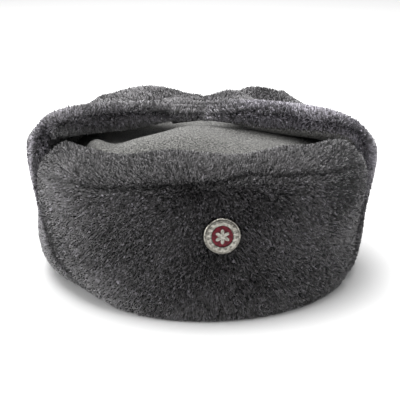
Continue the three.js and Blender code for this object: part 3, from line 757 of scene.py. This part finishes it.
def ear_middle(side):
    """The ear flap's middle: each rib climbs the wall to where it leaves it, and swings over
    the crown on a cubic curve from there to its end."""
    def middle(u, v):
        across, back, up, rise, reach, arch = through(EAR_RIBS, u)[2:]
        turn, leave, climb, hang = ear_foot(side, u, v)
        wall = wall_point(turn, leave * climb - PRESS["deep"] * (1 - climb) ** PRESS["fade"])
        curled = side["curl"] * np.exp(-(((u - CURL_AT) / CURL_WIDE) ** 2))
        foot = wall_point(turn, leave)
        raised = wall_point(turn, leave + rise)
        end = np.stack([side["sign"] * across, back, up + curled], -1)
        arched = foot + (end - foot) * (1 - reach)[..., None]
        arched[..., 2] = end[..., 2] + arch - side["slack"] * hang
        s = np.clip((v - ON_WALL) / (1 - ON_WALL), 0, 1)[..., None]
        swing = (foot * (1 - s) ** 3 + raised * 3 * s * (1 - s) ** 2
                 + arched * 3 * s * s * (1 - s) + end * s ** 3)
        swing[..., 2] += swells(EAR_FOLDS, swing[..., 0], swing[..., 1])
        return np.where((v < ON_WALL)[..., None], wall, swing)

    return middle


def ear_thick(side):
    """Wadding of one thickness, filled out to a full roll along the upper front edge, which
    thins again to the tip."""
    def thick(u, v):
        high = smooth_between(*ROLL_UP, v) - smooth_between(side["tip"], 1, v)
        full = EAR_THICK + (side["roll"] - EAR_THICK) * high * (1 - smooth_between(*ROLL_ACROSS, u))
        pinch = PINCH * smooth_between(PINCH_FROM, 1, v) * (1 - smooth_between(*PINCH_ACROSS, u))
        turn, leave, climb, _ = ear_foot(side, u, v)
        return full - pinch - tuck_at(turn, leave * climb)

    return thick


def ear_blunt(u, v):
    """Square at the tips, which are pressed together, and round everywhere else."""
    at_tips = BLUNT - (BLUNT - ROUND) * smooth_between(*BLUNT_ACROSS, u)
    return np.where(v > ON_WALL, at_tips, ROUND)


def ear_edge(v):
    """How much wider the round of the front edge is, growing from the middle to the tip."""
    return 1 + (EDGE_WIDENS - 1) * smooth_between(0.5, 1, v)


def at_middle(sign):
    """The pressed fibres of an ear flap: near the middle plane they lean across it by up to the
    crossing, so that the tied tips and the back seam close."""
    def pressed(tip):
        near = smooth_between(*CROSSING_FROM, np.abs(tip[:, 0]))
        uneven = 0.4 + 0.6 * np.sin(tip[:, 1] * 1.7 + tip[:, 2] * 2.3) ** 2
        tip[:, 0] -= sign * CROSSING * near * uneven
        return tip

    return pressed


CROSSING, CROSSING_FROM = 3.0, (9, 1)           # how far fibres reach over the middle, and where
EAR_EDGES = (0.042, 0.045)                      # shares across and up that the round edges take
BARE_OVER = 0.35                                # edge widths over which the pile ends
GATHERS = {"waves": 17, "deep": 0.9}            # gathers at the tied tips: waves across, depth
EAR_LIGHTER = 0.04                              # shade of the ear flaps beside the front flap's
PAINTED_UNDER_SHADE, PAINTED_EDGE_LIGHT = 0.2, 0.16          # painted shade under the roll and painted light along its front edge
EAR_SWIRL, EAR_LEAN = 0.7, (-0.3, -0.4)         # swirl of the pile, and its lean out and down
for side_name, side in EAR_SIDES.items():
    ear_sheet = padded_sheet(ear_middle(side), ear_thick(side), ear_blunt, 110, 90, *EAR_EDGES,
                             side["sign"], SEAM, ear_edge)
    ear_u, ear_v = ear_sheet["share"].T
    is_inner = np.arange(len(ear_u)) >= ear_sheet["outer"]
    near_edge = from_edge(ear_sheet, *EAR_EDGES)
    bare_from = np.where((ear_u < side["furred"]) & (ear_v > ON_WALL), side["bare"], 0.5)
    ear_bare = smooth_between(bare_from, bare_from + BARE_OVER, near_edge)
    ear_cover = np.where(is_inner, 1 - ear_bare, 1.0)
    gathered = smooth_between(0.8, 0.98, ear_v) * (1 - smooth_between(0.3, 0.4, ear_u))
    ridge = np.cos(2 * np.pi * GATHERS["waves"] * ear_u) * gathered * np.where(is_inner, 0, 1)
    ear_sheet["points"] += (GATHERS["deep"] * (ridge - gathered) / 2)[:, None] * point_normals(
        ear_sheet["points"], ear_sheet["quads"])
    ear_sheet["normals"] = point_normals(ear_sheet["points"], ear_sheet["quads"])
    in_front = 1 - smooth_between(0.15, 0.3, ear_u)
    at_tip = smooth_between(0.88, 0.98, ear_v)
    on_roll = smooth_between(0.15, 0.5, ear_v) * (1 - 0.7 * at_tip) * in_front
    at_side = smooth_between(0.1, 0.25, ear_v) * (1 - smooth_between(0.42, 0.6, ear_v)) * in_front
    under_roll = np.where(is_inner, smooth_between(0.2, 1.4, near_edge), 0) * (ear_v > ON_WALL)
    roll_edge = np.exp(-((ear_u / 0.03) ** 2)) * (ear_v > ON_WALL)
    # Painted light on the front of the roll and on the side near the front, painted shade under the
    # roll, and painted light along the roll's front edge
    ear_painted_shading = (EAR_LIGHTER + side["painted_shading"] * on_roll + side["painted_side_light"] * at_side
                 - PAINTED_UNDER_SHADE * under_roll + PAINTED_EDGE_LIGHT * roll_edge * (1 - under_roll))
    ear_lean = EAR_SWIRL * drift(ear_sheet["points"], 40, 7)
    ear_lean += np.array((side["sign"] * EAR_LEAN[0], 0, EAR_LEAN[1]))
    flap(f"ear_flap_{side_name}_padded", f"ear_flap_{side_name}", ear_sheet, ear_cover, ear_lean,
         ear_painted_shading, (195000, 95000), side["seed"], at_middle(side["sign"]))


# Tie tape
# A short woven cotton tape under the tips of the ear flaps holds them together.
def dressed(node, material):
    """Gives a part of the frame its material."""
    for material_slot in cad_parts[node].material_slots:
        material_slot.material = material


def threads(material, size, direction):
    """Ridges of threads, size millimetres from one to the next, one after another along an axis."""
    nodes, links = material.node_tree.nodes, material.node_tree.links
    wave = nodes.new("ShaderNodeTexWave")
    wave.bands_direction = direction
    wave.inputs["Scale"].default_value = 2 * math.pi / 20 / (size * MM)
    wave.inputs["Distortion"].default_value = 0.6
    links.new(nodes.new("ShaderNodeTexCoord").outputs["Object"], wave.inputs["Vector"])
    return wave.outputs["Fac"]


tape_cotton, tape_shader = plain_material("tape_cotton", (0.09, 0.088, 0.085), 0.9)
warp = threads(tape_cotton, 0.8, "Y")
twill = blended(tape_cotton, (0.05, 0.049, 0.047), (0.12, 0.117, 0.112), warp)
weft = blended(tape_cotton, twill, (0.07, 0.068, 0.066), threads(tape_cotton, 0.9, "X"))
tape_cotton.node_tree.links.new(weft, tape_shader.inputs["Base Color"])
bumped(tape_cotton, tape_shader, warp, 0.2)
dressed("tie_tape", tape_cotton)

# Badge
# A round pin-on badge struck in white metal, tarnished in its grooves: a ring of leaves round a
# well of dark red enamel, in which a rosette lies. Its post goes through the flap behind it.
badge_place = BADGE_AT + MIDDLE


def by_radius(material, rows):
    """A grey that follows the distance from the badge's middle through a table of radius in
    millimetres and brightness."""
    nodes, links = material.node_tree.nodes, material.node_tree.links
    away = nodes.new("ShaderNodeVectorMath")
    away.operation = "DISTANCE"
    away.inputs[1].default_value = tuple(badge_place * MM)
    links.new(nodes.new("ShaderNodeTexCoord").outputs["Object"], away.inputs[0])
    share = nodes.new("ShaderNodeMapRange")
    share.inputs["From Max"].default_value = BADGE_RADIUS * MM
    links.new(away.outputs["Value"], share.inputs["Value"])
    ramp = nodes.new("ShaderNodeValToRGB")
    stops = ramp.color_ramp.elements
    for number, (radius, grey) in enumerate(rows):
        stop = stops[number] if number < 2 else stops.new(radius / BADGE_RADIUS)
        stop.position = radius / BADGE_RADIUS
        stop.color = (grey, grey, grey, 1)
    links.new(share.outputs["Result"], ramp.inputs["Fac"])
    return ramp.outputs["Color"]


badge_metal, metal_shader = plain_material("badge_metal", (0.3, 0.285, 0.25), 0.2, 1.0)
tarnish = noise(badge_metal, 1.6, detail=4.0, low=0.3, high=0.7)
silver = blended(badge_metal, (0.14, 0.132, 0.114), (0.46, 0.445, 0.4), tarnish)
grooves = by_radius(badge_metal, [(0.0, 1.0), (12.5, 0.5), (7.1, 0.9), (7.6, 0.1), (8.3, 0.95),
                                  (10.8, 0.85), (11.4, 0.3), (11.9, 1.0)])
struck = blended(badge_metal, (0.02, 0.018, 0.015), silver, grooves)
badge_metal.node_tree.links.new(struck, metal_shader.inputs["Base Color"])
bumped(badge_metal, metal_shader, tarnish, 0.12)
dressed("badge", badge_metal)
dressed("badge_rosette", badge_metal)

badge_red, red_shader = plain_material("badge_red", (0.1, 0.004, 0.01), 0.3)
fired = noise(badge_red, 2.2, detail=2.0)
red_color = blended(badge_red, (0.055, 0.002, 0.006), (0.15, 0.005, 0.016), fired)
badge_red.node_tree.links.new(red_color, red_shader.inputs["Base Color"])
red_shader.inputs["Specular IOR Level"].default_value = 0.2
dressed("badge_enamel", badge_red)
